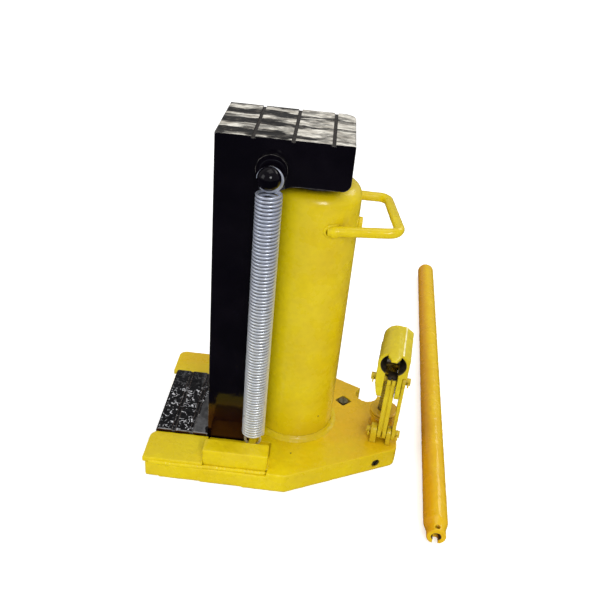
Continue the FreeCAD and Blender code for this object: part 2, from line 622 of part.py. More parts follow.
def make_lugs():
    lugs = []
    for name, low, high in (
            ("left", "-link_left - lug_gap - lug_thick", "-link_left - lug_gap"),
            ("right", "link_right + lug_gap", "strap_in - strap_gap")):
        thick = f"{high} - ({low})"
        foot = block(f"lug_foot_{name}", (low, "-pin_v - lug_round", "base_high"),
                     (high, "-pin_v + lug_round", "pin_low_z"))
        crown = rod(f"lug_crown_{name}", "lug_round", thick, (low, "-pin_v", "pin_low_z"), "X")
        hole = rod(f"lug_hole_{name}", "pin_radius", f"{thick} + 2",
                   (f"{low} - 1", "-pin_v", "pin_low_z"), "X")
        lugs.append(cut(f"lug_{name}", fuse(f"lug_blank_{name}", foot, crown), hole))
    for lug, name in zip(lugs, ("left", "right")):
        done(in_pump(lug), "link_lug_" + name)


def make_pin(label, left, right, v, z):
    """A round pin along U with a cotter through each end, outside what it holds."""
    pin = rod(label + "_blank", "pin_radius", f"{left} + {right} + 2 * pin_proud",
              (f"-{left} - pin_proud", v, z), "X")
    places = (f"-{left} - pin_proud / 2", f"{right} + pin_proud / 2")
    holes = [rod(f"{label}_cross_{n}", "cotter_hole", "4 * pin_radius",
                 (u, f"{v} - 2 * pin_radius", z), "Y")
             for n, u in enumerate(places)]
    done(in_pump(cut(label, pin, *holes)))
    cotters = []
    for n, u in enumerate(places):
        shank = rod(f"{label}_split_{n}", "cotter_radius", "cotter_long",
                    (u, f"{v} - cotter_long / 2", z), "Y")
        eye = hoop(f"{label}_split_eye_{n}", "cotter_eye", "cotter_radius * 0.8",
                   (u, f"{v} - cotter_long / 2 - cotter_eye + 0.4", z), "X")
        leg = rod(f"{label}_leg_{n}", "cotter_radius * 0.7", "cotter_long / 3",
                  (u, f"{v} + cotter_long / 2 - 0.6", z), Vector(0, 0.6, -0.8))
        cotters.append(fuse(f"{label}_cotter_{n}", shank, eye, leg))
    done(in_pump(group(label + "_cotters", *cotters)))


def make_plunger_pin(reach):
    """A short pin along U, held by an open spring clip in a groove at each end."""
    pin = rod("plunger_pin_blank", "pin_radius", f"2 * ({reach} + clip_proud)",
              (f"-({reach}) - clip_proud", "0", "plunger_pin_z"), "X")
    grooves = []
    clips = []
    for name, low in (("left", f"-({reach}) - 0.2 - clip_thick"), ("right", f"{reach} + 0.2")):
        disc = rod("clip_disc_" + name, "pin_radius + clip_rim", "clip_thick",
                   (low, "0", "plunger_pin_z"), "X")
        hole = rod("clip_hole_" + name, "pin_radius - clip_floor", "clip_thick + 2",
                   (f"{low} - 1", "0", "plunger_pin_z"), "X")
        ring = cut("clip_ring_" + name, disc, hole)
        mouth = block("clip_mouth_" + name, (f"{low} - 1", "-2", "plunger_pin_z - 10"),
                      (f"{low} + clip_thick + 1", "2", "plunger_pin_z"))
        grooves.append(ring)
        clips.append(cut("clip_" + name, ring, mouth))
    done(in_pump(cut("plunger_pin", pin, *grooves)))
    done(in_pump(group("plunger_pin_clips", *clips)))


def make_pins():
    right = "(strap_in + strap_thick)"
    make_pin("lower_link_pin", "(link_left + lug_gap + lug_thick)", right, "-pin_v", "pin_low_z")
    make_pin("fulcrum_pin", "(cheek_gap + cheek_thick)", right, "-pin_v", "pin_high_z")
    make_plunger_pin("cheek_rear_half")


def make_socket():
    """A lever sleeve with two cheeks under it and a short tongue over its mouth."""
    outer = "socket_bore + socket_wall"
    sleeve = turned("sleeve_blank", [
        ("0", "0"), (outer, "0"), (f"{outer} - socket_taper", "socket_mouth + socket_far"),
        ("0", "socket_mouth + socket_far")])
    sleeve.Placement = Placement(Vector(), Rotation(UP, AXES["Y"]))
    bind_place(sleeve, ("0", "-socket_mouth", "socket_z"))
    # flat flank and ridge on the right of the sleeve
    flank = plate("sleeve_flank", "XZ_Plane", [
        ("0", "flank_low"), ("flank_out", "flank_low"), ("flank_out", "flank_high"),
        ("ridge", "ridge_z"), ("0", "ridge_z")],
        "socket_mouth + socket_far", offset="-socket_far")
    cheek = plate("cheek_blank", "YZ_Plane", [
        ("-cheek_front", "cheek_top"), ("-cheek_front", "pin_high_z"),
        ("-pin_v - cheek_lobe * 0.7", "pin_high_z - cheek_drop - cheek_lobe * 0.71"),
        ("-pin_v + cheek_lobe * 0.7", "pin_high_z - cheek_drop - cheek_lobe * 0.71"),
        ("cheek_rear_lobe * 0.7", "plunger_pin_z - cheek_rear_lobe * 0.75"),
        ("cheek_rear", "plunger_pin_z"), ("cheek_rear", "cheek_top")],
        "2 * (cheek_gap + cheek_thick)", symmetric=True)
    lobe = rod("cheek_lobe_blank", "cheek_lobe", "2 * (cheek_gap + cheek_thick)",
               ("-cheek_gap - cheek_thick", "-pin_v", "pin_high_z - cheek_drop"), "X")
    tongue = rod("tongue_blank", outer, "tongue_long + 1",
                 ("0", "-socket_mouth - tongue_long", "socket_z"), "Y")
    tongue_plan = plate("tongue_plan", "XY_Plane", [
        ("-tongue_half", "-socket_mouth + 1"), ("-tongue_half", "-socket_mouth - tongue_long / 3"),
        ("-tongue_tip", "-socket_mouth - tongue_long"), ("tongue_tip", "-socket_mouth - tongue_long"),
        ("tongue_half", "-socket_mouth - tongue_long / 3"), ("tongue_half", "-socket_mouth + 1")],
        "2 * socket_bore", offset="socket_z + socket_bore / 2")
    lip = doc.addObject("Part::MultiCommon", "tongue")
    lip.Shapes = [tongue, tongue_plan]
    blank = fuse("socket_blank", sleeve, flank, cheek, lobe, lip)
    tools = [
        rod("lever_bore", "socket_bore", "socket_mouth + socket_far - socket_stop + 20",
            ("0", "-socket_mouth - 20", "socket_z"), "Y"),
        block("cheek_space", ("-cheek_gap", "-socket_mouth - 10", "0"),
              ("cheek_gap", "socket_far - socket_stop", "socket_z")),
        rod("fulcrum_hole", "pin_radius", "40", ("-20", "-pin_v", "pin_high_z"), "X"),
        block("strap_space", ("strap_in - strap_gap", "-socket_mouth - 10", "0"),
              ("30", "-cheek_step", "flank_low")),
        block("rear_space_right", ("cheek_rear_half", "-cheek_step", "0"),
              ("30", "socket_far + 1", "flank_low")),
        block("rear_space_left", ("-30", "-cheek_step", "0"),
              ("-cheek_rear_half", "socket_far + 1", "flank_low")),
        plate("cheek_bevel_left", "XZ_Plane", [
            ("-cheek_gap - cheek_thick - 1", "cheek_bevel_z"),
            ("-cheek_gap - cheek_thick", "cheek_bevel_z"),
            ("-cheek_gap - cheek_thick + cheek_bevel", "pin_high_z - cheek_drop - cheek_lobe - 1"),
            ("-cheek_gap - cheek_thick - 1", "pin_high_z - cheek_drop - cheek_lobe - 1")],
            "4 * socket_mouth", symmetric=True),
        rod("open_slot_front", "open_slot_half", "40",
            ("-20", "-open_slot_long / 2 + open_slot_shift", "plunger_pin_z"), "X"),
        rod("open_slot_rear", "open_slot_half", "40",
            ("-20", "open_slot_long / 2 + open_slot_shift", "plunger_pin_z"), "X"),
        block("open_slot_middle",
              ("-20", "-open_slot_long / 2 + open_slot_shift", "plunger_pin_z - open_slot_half"),
              ("20", "open_slot_long / 2 + open_slot_shift", "plunger_pin_z + open_slot_half")),
    ]
    done(in_pump(cut("lever_socket", blank, *tools)))


# ---------------------------------------------------------------- loose lever

def make_lever():
    """A tube that lies on the floor, swaged at the near tip and domed at the other.

    The notch for the key of the valve spindle is in the lower side of the tip."""
    inner = "lever_radius - lever_wall"
    cone_end = "lever_neck_long + lever_cone"
    blank = turned("lever_blank", [
        ("lever_throat", "0"), ("lever_neck", "0"), ("lever_neck", "lever_neck_long"),
        ("lever_radius", cone_end), ("lever_radius", "lever_long"), ("0", "lever_long"),
        ("0", "lever_long - lever_wall * 2"), (inner, "lever_long - lever_wall * 2"),
        (inner, f"{cone_end} + 1"), ("lever_throat", "lever_neck_long + 1")])
    dome = rounded("lever_domed", blank, "lever_end_round",
                   lambda p, e: near(p.z, size("lever_long")))
    notch = block("lever_notch_cut", ("-lever_notch / 2", "0", "-1"),
                  ("lever_notch / 2", "20", "lever_notch_deep"))
    hole = rod("lever_hole_cut", "lever_hole", "20", ("0", "-20", "lever_hole_at"), "Y")
    item = cut("pump_lever", dome, notch, hole)
    turn = math.radians(size("lever_turn"))
    along = Vector(math.sin(turn), math.cos(turn), 0)
    item.Placement = Placement(
        Vector(size("lever_tip_x"), -size("lever_tip_y"), size("lever_radius")),
        Rotation(UP.cross(along) * -1, UP * -1, along, "ZYX"))
    done(item)


def write_parts():
    """Checks every object and writes one file for each piece."""
    doc.recompute()
    for item in doc.Objects:
        if "Invalid" in item.State or "Error" in item.State:
            raise RuntimeError(f"{item.Name} did not build: {item.State}")
    os.makedirs("parts", exist_ok=True)
    for item in PARTS:
        shape = item.Shape
        if shape.isNull() or not shape.isValid() or not shape.Solids:
            raise RuntimeError(f"{item.Label} has no valid solid")
        shape.exportStep(f"parts/{item.Label}.step")
        box = shape.BoundBox
        print(f"{item.Label:22s} solids {len(shape.Solids)}  volume {shape.Volume / 1000:9.2f} cm3"
              f"  x {box.XMin:7.1f} {box.XMax:7.1f}  y {box.YMin:7.1f} {box.YMax:7.1f}"
              f"  z {box.ZMin:6.1f} {box.ZMax:6.1f}")


make_base()
make_fork_tops()
make_base_fittings()
make_cylinder()
make_ram()
make_carriage()
make_springs()
make_grip()
make_filler()
make_pump_barrel()
make_plunger()
make_links()
make_lugs()
make_pins()
make_socket()
make_lever()
write_parts()
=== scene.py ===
"""Looks of the toe jack: materials, wound springs, weld beads, rough toe, studio and camera."""
import math

import bpy
import bmesh
from mathutils import Matrix, Vector, noise


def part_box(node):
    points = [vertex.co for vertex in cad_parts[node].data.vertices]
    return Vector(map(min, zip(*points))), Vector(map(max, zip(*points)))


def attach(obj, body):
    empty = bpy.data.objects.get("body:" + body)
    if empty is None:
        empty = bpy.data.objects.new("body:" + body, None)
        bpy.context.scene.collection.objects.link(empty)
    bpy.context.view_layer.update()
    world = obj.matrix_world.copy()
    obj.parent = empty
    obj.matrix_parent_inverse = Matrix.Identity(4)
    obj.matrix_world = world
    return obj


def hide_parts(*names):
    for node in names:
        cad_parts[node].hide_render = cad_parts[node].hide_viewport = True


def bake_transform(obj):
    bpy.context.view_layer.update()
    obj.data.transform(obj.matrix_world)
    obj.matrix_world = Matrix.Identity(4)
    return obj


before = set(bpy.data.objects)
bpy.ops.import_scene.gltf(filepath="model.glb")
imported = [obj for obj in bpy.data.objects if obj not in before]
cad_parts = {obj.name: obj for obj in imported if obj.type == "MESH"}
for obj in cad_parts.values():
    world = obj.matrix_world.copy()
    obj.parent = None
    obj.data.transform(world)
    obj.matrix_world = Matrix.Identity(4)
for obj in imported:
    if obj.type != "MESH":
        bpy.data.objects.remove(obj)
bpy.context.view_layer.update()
MM = 0.001
LUMP_SIZE = 7 * MM
NEAR_FAR = (("near", -1), ("far", 1))


# ---------------------------------------------------------------- node helpers

class Nodes:
    """The node tree of a material or a world, with one short call for each kind of node."""

    def __init__(self, owner, surface):
        owner.use_nodes = True
        self.tree = owner.node_tree
        self.surface = self.tree.nodes[surface]

    def node(self, kind, inputs=None, **settings):
        made = self.tree.nodes.new(kind)
        for key, value in settings.items():
            setattr(made, key, value)
        for key, value in (inputs or {}).items():
            self.put(made.inputs[key], value)
        return made

    def put(self, socket, value):
        if isinstance(value, bpy.types.NodeSocket):
            self.tree.links.new(value, socket)
        elif isinstance(value, tuple) and len(value) == 3 and socket.type == "RGBA":
            socket.default_value = (*value, 1)
        else:
            socket.default_value = value

    def set(self, **values):
        for key, value in values.items():
            self.put(self.surface.inputs[key.replace("_", " ")], value)

    def math(self, operation, a, b=0.0):
        made = self.node("ShaderNodeMath", operation=operation)
        self.put(made.inputs[0], a)
        self.put(made.inputs[1], b)
        return made.outputs[0]


class Shader(Nodes):
    """A material, with the masks and patterns that its paint or metal is made of."""

    def __init__(self, name):
        self.material = bpy.data.materials.new(name)
        super().__init__(self.material, "Principled BSDF")
        self.place = self.node("ShaderNodeTexCoord").outputs["Object"]

    def noise(self, scale, detail=3.0, rough=0.5, stretch=None, shift=0.0):
        """Smooth noise from 0 to 1, about 1 / scale metres from one lump to the next."""
        where = self.place
        if stretch or shift:
            where = self.node("ShaderNodeMapping", {
                "Vector": where, "Scale": stretch or (1, 1, 1),
                "Location": (shift, shift, shift)}).outputs[0]
        return self.node("ShaderNodeTexNoise", {
            "Vector": where, "Scale": scale, "Detail": detail, "Roughness": rough}).outputs["Fac"]

    def cells(self, scale, feature="F1", shift=0.0):
        where = self.node("ShaderNodeMapping", {
            "Vector": self.place, "Location": (shift, shift, shift)}).outputs[0]
        return self.node("ShaderNodeTexVoronoi", {"Vector": where, "Scale": scale},
                         feature=feature).outputs["Distance"]

    def fit(self, value, low, high, to_low=0.0, to_high=1.0):
        """value from low..high to to_low..to_high, held at both ends."""
        return self.node("ShaderNodeMapRange", {
            "Value": value, "From Min": low, "From Max": high, "To Min": to_low,
            "To Max": to_high}, interpolation_type="SMOOTHSTEP").outputs[0]

    def vector(self, operation, a, b=(0, 0, 0), output=0):
        made = self.node("ShaderNodeVectorMath", operation=operation)
        self.put(made.inputs[0], a)
        self.put(made.inputs[1], b)
        return made.outputs[output]

    def mix(self, share, a, b):
        made = self.node("ShaderNodeMix", data_type="RGBA")
        self.put(made.inputs["Factor"], share)
        self.put(made.inputs[6], a)
        self.put(made.inputs[7], b)
        return made.outputs[2]

    def axes(self, vector):
        return self.node("ShaderNodeSeparateXYZ", {0: vector}).outputs

    def bump(self, height, depth, under=None):
        inputs = {"Height": height, "Distance": depth, "Strength": 1.0}
        if under is not None:
            inputs["Normal"] = under
        return self.node("ShaderNodeBump", inputs).outputs[0]

    def edges(self, radius, low, high):
        """1 on outer and inner edges, 0 on plain faces."""
        soft = self.node("ShaderNodeBevel", {"Radius": radius}, samples=4).outputs[0]
        flat = self.node("ShaderNodeNewGeometry").outputs["Normal"]
        turned = self.vector("DOT_PRODUCT", soft, flat, "Value")
        return self.fit(turned, high, low)

    def crevices(self, reach):
        """1 deep in corners, 0 in the open."""
        open_sky = self.node("ShaderNodeAmbientOcclusion", {"Distance": reach},
                             samples=4).outputs["AO"]
        return self.fit(open_sky, 0.75, 0.25)

    def off_line(self, point, direction):
        """Distance of each point of the surface from a line."""
        away = self.vector("SUBTRACT", self.place, tuple(point))
        along = self.vector("DOT_PRODUCT", away, tuple(direction), "Value")
        scaled = self.node("ShaderNodeVectorMath", {0: tuple(direction), "Scale": along},
                           operation="SCALE").outputs[0]
        return self.vector("LENGTH", self.vector("SUBTRACT", away, scaled), output="Value")


def in_well(s, point, radius, top):
    """1 in a hollow round a vertical axis, below a flat top."""
    return s.math("MULTIPLY", s.fit(s.off_line(point, (0, 0, 1)), radius + 0.0005, radius),
                  s.fit(s.axes(s.place)["Z"], top - 0.0003, top - 0.0012))


def on_ridge(s, point, direction):
    """1 on a narrow, slightly ragged line along an edge."""
    off = s.math("ADD", s.off_line(point, direction),
                 s.fit(s.noise(120, 3), 0.2, 0.8, -0.0004, 0.0004))
    return s.fit(off, 0.0013, 0.0006)


def in_bore(s, point, direction, radius, reach):
    """1 within a radius of an axis, as far along it as reach."""
    away = s.vector("SUBTRACT", s.place, tuple(point))
    along = s.vector("DOT_PRODUCT", away, tuple(direction), "Value")
    return s.math("MULTIPLY", s.fit(along, reach + 0.001, reach),
                  s.fit(s.off_line(point, direction), radius + 0.0004, radius - 0.0004))


def enamel(name, bright, deep, top_light_colour=None, rough=0.2, lumps=1.0, bore=None, dirt_and_shade_share=0.75,
           side_light_and_shade=None, coat=0.2, ridge=None, well=None):
    """Thick glossy enamel: drifting colour, pooled lumps, orange peel, pinholes, soiling and painted
    shade in corners.

    The colours for faces that look up and to -X are painted light and shade. bore, ridge and well say
    where the dark inside of a hole, a painted highlight along an edge and a darkened hollow are; on the
    pump parts the dark bore colour is painted shade inside the socket."""
    s = Shader(name)
    drift = s.fit(s.noise(14, 4, 0.6), 0.32, 0.68)
    # Painted light: faces that look up take a warmer colour, more so towards +X and +Y.
    colour = s.mix(drift, bright, deep)
    if top_light_colour is not None:
        up = s.axes(s.node("ShaderNodeNewGeometry").outputs["Normal"])["Z"]
        lean = s.vector("DOT_PRODUCT", s.place, (0.75, 1.0, 0), "Value")
        lean = s.math("ADD", lean, s.fit(s.noise(22, 4, 0.6, shift=3.0), 0.25, 0.75, -0.05, 0.05))
        colour = s.mix(s.math("MULTIPLY", s.fit(up, 0.5, 0.95), s.fit(lean, -0.09, 0.07)),
                       colour, top_light_colour)
    # Painted light and shade: faces that look to -X take a colour of their own, lighter on the jacket
    # and darker on the lever.
    if side_light_and_shade is not None:
        facing = s.axes(s.node("ShaderNodeNewGeometry").outputs["Normal"])["X"]
        colour = s.mix(s.fit(facing, 0.15, -0.8), colour, side_light_and_shade)
    fine = s.fit(s.noise(160, 3, 0.6), 0.35, 0.7)
    colour = s.mix(s.math("MULTIPLY", fine, 0.16), colour, tuple(c * 0.72 for c in deep))
    # Soiling and painted shade: corners and creases turn brown.
    dirt_and_shade = s.math("MULTIPLY", s.crevices(0.006), s.fit(s.noise(90, 3), 0.25, 0.65))
    colour = s.mix(s.math("MULTIPLY", dirt_and_shade, dirt_and_shade_share), colour, (0.16, 0.075, 0.012))
    holes = s.math("MULTIPLY", s.fit(s.cells(38), 0.052, 0.03),
                   s.fit(s.noise(9, 1, shift=7.0), 0.60, 0.64))
    colour = s.mix(holes, colour, (0.045, 0.03, 0.01))
    worn = s.math("MULTIPLY", s.edges(0.0011, 0.80, 0.97),
                  s.fit(s.noise(70, 4, 0.7, shift=1.0), 0.60, 0.72))
    colour = s.mix(s.math("MULTIPLY", worn, 0.55), colour, (0.30, 0.22, 0.10))
    # The hollow round the plug is darkened.
    if well is not None:
        colour = s.mix(s.math("MULTIPLY", in_well(s, *well), 0.85), colour, (0.10, 0.055, 0.012))
    # Painted highlight: a bright line along the ridge.
    if ridge is not None:
        *where, light = ridge
        colour = s.mix(on_ridge(s, *where), colour, light)
    gloss = s.fit(s.noise(60, 4, 0.6), 0.3, 0.7, rough * 0.75, rough * 1.5)
    # Dark insides: stained and rusty metal in the socket bore and the lever tip, painted shade on the
    # pump parts inside the socket.
    if bore is not None:
        *where, inside = bore
        within = in_bore(s, *where)
        rust_and_shade = s.mix(s.fit(s.noise(220, 4, 0.7), 0.35, 0.65), inside,
                     tuple(c * 0.35 for c in inside))
        colour = s.mix(within, colour, rust_and_shade)
        gloss = s.math("MAXIMUM", gloss, s.math("MULTIPLY", within, 0.75))
    pooled = s.bump(s.noise(55, 2, 0.45, shift=2.0), 0.0010 * lumps)
    peel = s.bump(s.noise(480, 2, 0.5), 0.00022 * lumps, pooled)
    pits = s.bump(s.math("MULTIPLY", holes, -1.0), 0.0006, peel)
    s.set(Base_Color=colour, Roughness=gloss, Normal=pits, Coat_Weight=coat, Coat_Roughness=0.08,
          Specular_IOR_Level=0.4)
    return s.material


def black_enamel(name, wear_and_glints=1.0, top=None, mirror=0.5):
    """Deep gloss black with thin light edges, partly worn paint and partly painted glints.

    With a head top, its bright bands are partly paint rubbed through to bare metal and partly
    painted reflection; it mirrors a warm colour near the floor."""
    s = Shader(name)
    cloud = s.fit(s.noise(30, 3), 0.3, 0.7)
    colour = s.mix(cloud, (0.0012, 0.0008, 0.0024), (0.0030, 0.0022, 0.0045))
    # Light edges: partly worn paint and partly painted glints.
    worn = s.math("MULTIPLY", s.edges(0.0009, 0.84, 0.985),
                  s.fit(s.noise(95, 4, 0.7), 0.38, 0.60))
    worn = s.math("MULTIPLY", worn, wear_and_glints)
    colour = s.mix(worn, colour, (0.42, 0.40, 0.37))
    scuff = s.fit(s.noise(26, 5, 0.7, stretch=(1, 1, 0.4), shift=5.0), 0.5, 0.75)
    gloss = s.fit(s.noise(120, 4, 0.6), 0.3, 0.8, 0.05, 0.13)
    gloss = s.math("ADD", gloss, s.math("MULTIPLY", scuff, 0.08))
    gloss = s.math("MAXIMUM", gloss, s.math("MULTIPLY", worn, 0.4))
    relief = s.bump(s.noise(34, 2), 0.0004)
    relief = s.bump(s.noise(380, 2), 0.00005, relief)
    shine = s.math("MULTIPLY", worn, 0.6)
    if top is not None:
        # Painted reflection and worn paint: bright bands on the head top.
        on_top, cover, deep, bare_steel_and_reflection = rubbed_and_reflection_bands(s, top)
        smear = s.mix(s.fit(s.noise(130, 4, 0.7, shift=9.0), 0.48, 0.72), (0.004, 0.003, 0.003),
                      (0.09, 0.078, 0.062))
        bands = s.mix(cover, s.mix(deep, (0.030, 0.024, 0.020), smear), bare_steel_and_reflection)
        colour = s.mix(on_top, colour, bands)
        gloss = s.math("MAXIMUM", gloss, s.math("MULTIPLY", on_top,
                                                s.fit(cover, 0.0, 1.0, 0.20, 0.45)))
        shine = s.math("MULTIPLY", shine, s.fit(on_top, 0.0, 1.0, 1.0, 0.0))
        relief = s.bump(s.math("MULTIPLY", on_top, s.noise(90, 4, 0.6, stretch=(0.35, 1, 1))),
                        0.0009, relief)
        foot = s.fit(s.axes(s.place)["Z"], 0.085, 0.045)
        dull = s.fit(on_top, 0.0, 1.0, 1.0, 0.3)
        s.set(Specular_Tint=s.mix(foot, (1.0, 1.0, 1.0), (1.0, 0.38, 0.16)),
              Specular_IOR_Level=s.math("MULTIPLY", dull, s.fit(foot, 0.0, 1.0, 0.42, 0.95)))
    else:
        s.set(Specular_IOR_Level=mirror)
    s.set(Base_Color=colour, Roughness=gloss, Normal=relief, Metallic=shine)
    return s.material


def rubbed_and_reflection_bands(s, top):
    """Masks of a rubbed top: the top itself, its bright bands along X, its high parts; and the colour
    of those bands, which are partly paint rubbed to bare metal and partly painted reflection, brightest
    to the rear.
    """
    x, y, z = s.axes(s.place)
    up = s.axes(s.node("ShaderNodeNewGeometry").outputs["Normal"])["Z"]
    on_top = s.math("MULTIPLY", s.fit(z, top - 0.0030, top - 0.0022), s.fit(up, 0.4, 0.9))
    sway = s.fit(s.noise(15, 3, 0.6, stretch=(1.2, 0.7, 1)), 0.2, 0.8, -1.9, 1.9)
    wave = s.math("SINE", s.math("ADD", s.math("MULTIPLY", y, 2 * math.pi / 0.0285), sway))
    ragged = s.fit(s.noise(120, 4, 0.65, stretch=(0.3, 1.5, 1)), 0.2, 0.8, -1.0, 1.0)
    rear = s.fit(x, -0.055, 0.015, -0.05, 1.3)
    band = s.fit(s.math("ADD", s.math("ADD", wave, ragged), rear), -0.15, 0.75)
    sheen = s.fit(s.noise(95, 5, 0.7, stretch=(0.45, 1, 1), shift=4.0), 0.38, 0.60)
    deep = s.fit(z, top - 0.0012, top - 0.0004)
    cover = s.math("MULTIPLY", s.math("MULTIPLY", band, s.fit(sheen, 0.0, 1.0, 0.34, 1.0)), deep)
    scratch = s.fit(s.noise(420, 4, 0.75, stretch=(0.16, 1, 1)), 0.36, 0.66)
    bare_steel_and_reflection = s.mix(scratch, (1.0, 0.97, 0.88), (0.40, 0.36, 0.30))
    return on_top, cover, deep, bare_steel_and_reflection


def hammered_toe(name, top, smooth_from):
    """Black hammered top with light marks on its high spots, partly rubbed paint and partly painted
    highlights; smooth next to the arm, where a grey band is a painted reflection.
    """
    s = Shader(name)
    x, y, z = s.axes(s.place)
    # Light marks on the high spots: partly worn paint and partly painted highlights.
    thread = s.math("ABSOLUTE", s.math("SUBTRACT", s.noise(210, 1, 0.5), 0.5))
    worm = s.math("MULTIPLY", s.fit(thread, 0.042, 0.018),
                  s.fit(s.noise(150, 2, 0.6, shift=6.0), 0.49, 0.54))
    speck = s.math("MULTIPLY", s.fit(s.cells(300, shift=2.0), 0.22, 0.10),
                   s.fit(s.noise(90, 2, shift=8.0), 0.46, 0.54))
    marks = s.math("MAXIMUM", worm, s.math("MULTIPLY", speck, 0.8))
    far_part = s.fit(s.math("ADD", y, s.fit(s.noise(60, 3), 0.2, 0.8, -0.012, 0.012)), 0.018, 0.030)
    marks = s.math("MULTIPLY", marks, s.fit(far_part, 0.0, 1.0, 1.0, 0.15))
    marks = s.math("MULTIPLY", marks, s.fit(s.noise(70, 2, shift=4.0), 0.35, 0.6, 0.45, 1.0))
    ripple = s.fit(s.noise(60, 3, 0.6), 0.2, 0.8, -0.0025, 0.0025)
    slant = s.math("ADD", s.math("ADD", x, s.math("MULTIPLY", y, -0.09)), ripple)
    band = s.fit(slant, smooth_from - 0.0005, smooth_from + 0.0004)
    short = s.fit(s.math("ADD", y, ripple), 0.021, 0.016)
    strip = s.math("MULTIPLY", s.fit(slant, smooth_from + 0.0062, smooth_from + 0.0052),
                   s.fit(slant, smooth_from + 0.0022, smooth_from + 0.0030))
    band = s.math("MULTIPLY", band, s.math("MAXIMUM", short, strip))
    lean = s.math("ADD", s.math("ADD", x, s.math("MULTIPLY", y, -0.15)), ripple)
    foot = s.fit(lean, smooth_from + 0.0168, smooth_from + 0.0176)
    base = s.mix(s.fit(s.noise(140, 3), 0.35, 0.7), (0.002, 0.002, 0.003), (0.011, 0.011, 0.013))
    streak = s.fit(s.noise(75, 3, 0.6, stretch=(1, 0.25, 1), shift=3.0), 0.50, 0.62)
    base = s.mix(s.math("MULTIPLY", far_part, streak), base, (0.085, 0.087, 0.09))
    # Painted reflection: the smooth band next to the arm is grey.
    grey = s.mix(s.fit(s.noise(220, 4, 0.6, stretch=(0.6, 0.6, 1)), 0.3, 0.7), (0.060, 0.060, 0.062),
                 (0.15, 0.15, 0.155))
    colour = s.mix(marks, base, (0.92, 0.93, 0.97))
    colour = s.mix(band, colour, grey)
    colour = s.mix(foot, colour, (0.004, 0.003, 0.004))
    rim = s.math("MULTIPLY", s.fit(y, -0.0523, -0.0529),
                 s.fit(s.noise(150, 3, 0.6, stretch=(0.4, 1, 1), shift=7.0), 0.36, 0.50))
    colour = s.mix(rim, colour, (0.30, 0.30, 0.31))
    deep = s.fit(z, top - 0.0011, top - 0.0003)
    colour = s.mix(s.fit(deep, 0.0, 1.0, 0.6, 0.0), colour, (0.008, 0.008, 0.009))
    relief = s.bump(s.noise(260, 3, 0.6), 0.0005)
    s.set(Base_Color=colour, Roughness=s.fit(marks, 0.0, 1.0, 0.34, 0.5), Normal=relief,
          Specular_IOR_Level=0.16)
    return s.material


def metal(name, light, dark, rough, grain, stretch=(1, 1, 1), tarnish=(0.2, 0.17, 0.13),
          tarnish_share=0.35, share=0.95, upper=None):
    """Bare metal with machining grain, tarnish patches, and corners darkened by soiling and painted
    shade.

    upper is a tint that comes in with height, painted shade that darkens and blues the upper part."""
    s = Shader(name)
    colour = s.mix(s.fit(s.noise(grain, 4, 0.6, stretch=stretch), 0.3, 0.7), light, dark)
    # Painted shade: the metal turns darker and bluer with height.
    if upper is not None:
        colour = s.mix(s.fit(s.axes(s.place)["Z"], 0.13, 0.30), colour,
                       s.vector("MULTIPLY", colour, upper))
    patches = s.fit(s.noise(70, 4, 0.65, shift=4.0), 0.52, 0.70)
    colour = s.mix(s.math("MULTIPLY", patches, tarnish_share), colour, tarnish)
    # Soiling and painted shade: corners turn a deep tarnish colour.
    colour = s.mix(s.math("MULTIPLY", s.crevices(0.003), 0.6), colour,
                   tuple(c * 0.4 for c in tarnish))
    gloss = s.fit(s.noise(grain * 0.6, 3, 0.6, stretch=stretch, shift=1.0), 0.3, 0.7,
                  rough * 0.75, rough * 1.35)
    s.set(Base_Color=colour, Metallic=share, Roughness=gloss,
          Normal=s.bump(s.noise(grain, 3, 0.5, stretch=stretch), 0.00006))
    return s.material


def rubber(name):
    s = Shader(name)
    s.set(Base_Color=s.mix(s.fit(s.noise(200, 3), 0.3, 0.7), (0.012, 0.012, 0.012),
                           (0.03, 0.03, 0.03)),
          Roughness=s.fit(s.noise(90, 3), 0.3, 0.7, 0.5, 0.7),
          Normal=s.bump(s.noise(900, 2), 0.00005))
    return s.material


# ---------------------------------------------------------------- shape helpers

def finish_piece(name, made, material, body):
    """Turns a bmesh into a smooth-shaded piece that rides on a body."""
    bmesh.ops.recalc_face_normals(made, faces=made.faces)
    mesh = bpy.data.meshes.new(name)
    made.to_mesh(mesh)
    made.free()
    mesh.shade_smooth()
    piece = bpy.data.objects.new(name, mesh)
    bpy.context.scene.collection.objects.link(piece)
    mesh.materials.append(material)
    if body:
        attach(piece, body)
    return piece


def swept(points, radii, sides=10, closed=False):
    """A round bar along a line of points, with one radius for each, capped unless it closes."""
    made = bmesh.new()
    count = len(points)
    rings = []
    across = None
    for i, point in enumerate(points):
        ahead = points[(i + 1) % count] if closed or i + 1 < count else point
        behind = points[i - 1] if closed or i else point
        along = (ahead - behind).normalized()
        if across is None:
            across = along.orthogonal().normalized()
        across = (across - along * across.dot(along)).normalized()
        up = along.cross(across)
        ring = []
        for k in range(sides):
            turn = 2 * math.pi * k / sides
            off = across * math.cos(turn) + up * math.sin(turn)
            ring.append(made.verts.new(point + off * radii[i]))
        rings.append(ring)
    for i in range(count if closed else count - 1):
        a, b = rings[i], rings[(i + 1) % count]
        for k in range(sides):
            n = (k + 1) % sides
            made.faces.new((a[k], a[n], b[n], b[k]))
    if not closed:
        made.faces.new(rings[0][::-1])
        made.faces.new(rings[-1])
    return made


def walk(corners, step):
    """Points every step or so along straight runs through the corners."""
    points = []
    for a, b in zip(corners, corners[1:]):
        parts = max(1, round((b - a).length / step))
        points += [a.lerp(b, i / parts) for i in range(parts)]
    return points + [corners[-1]]


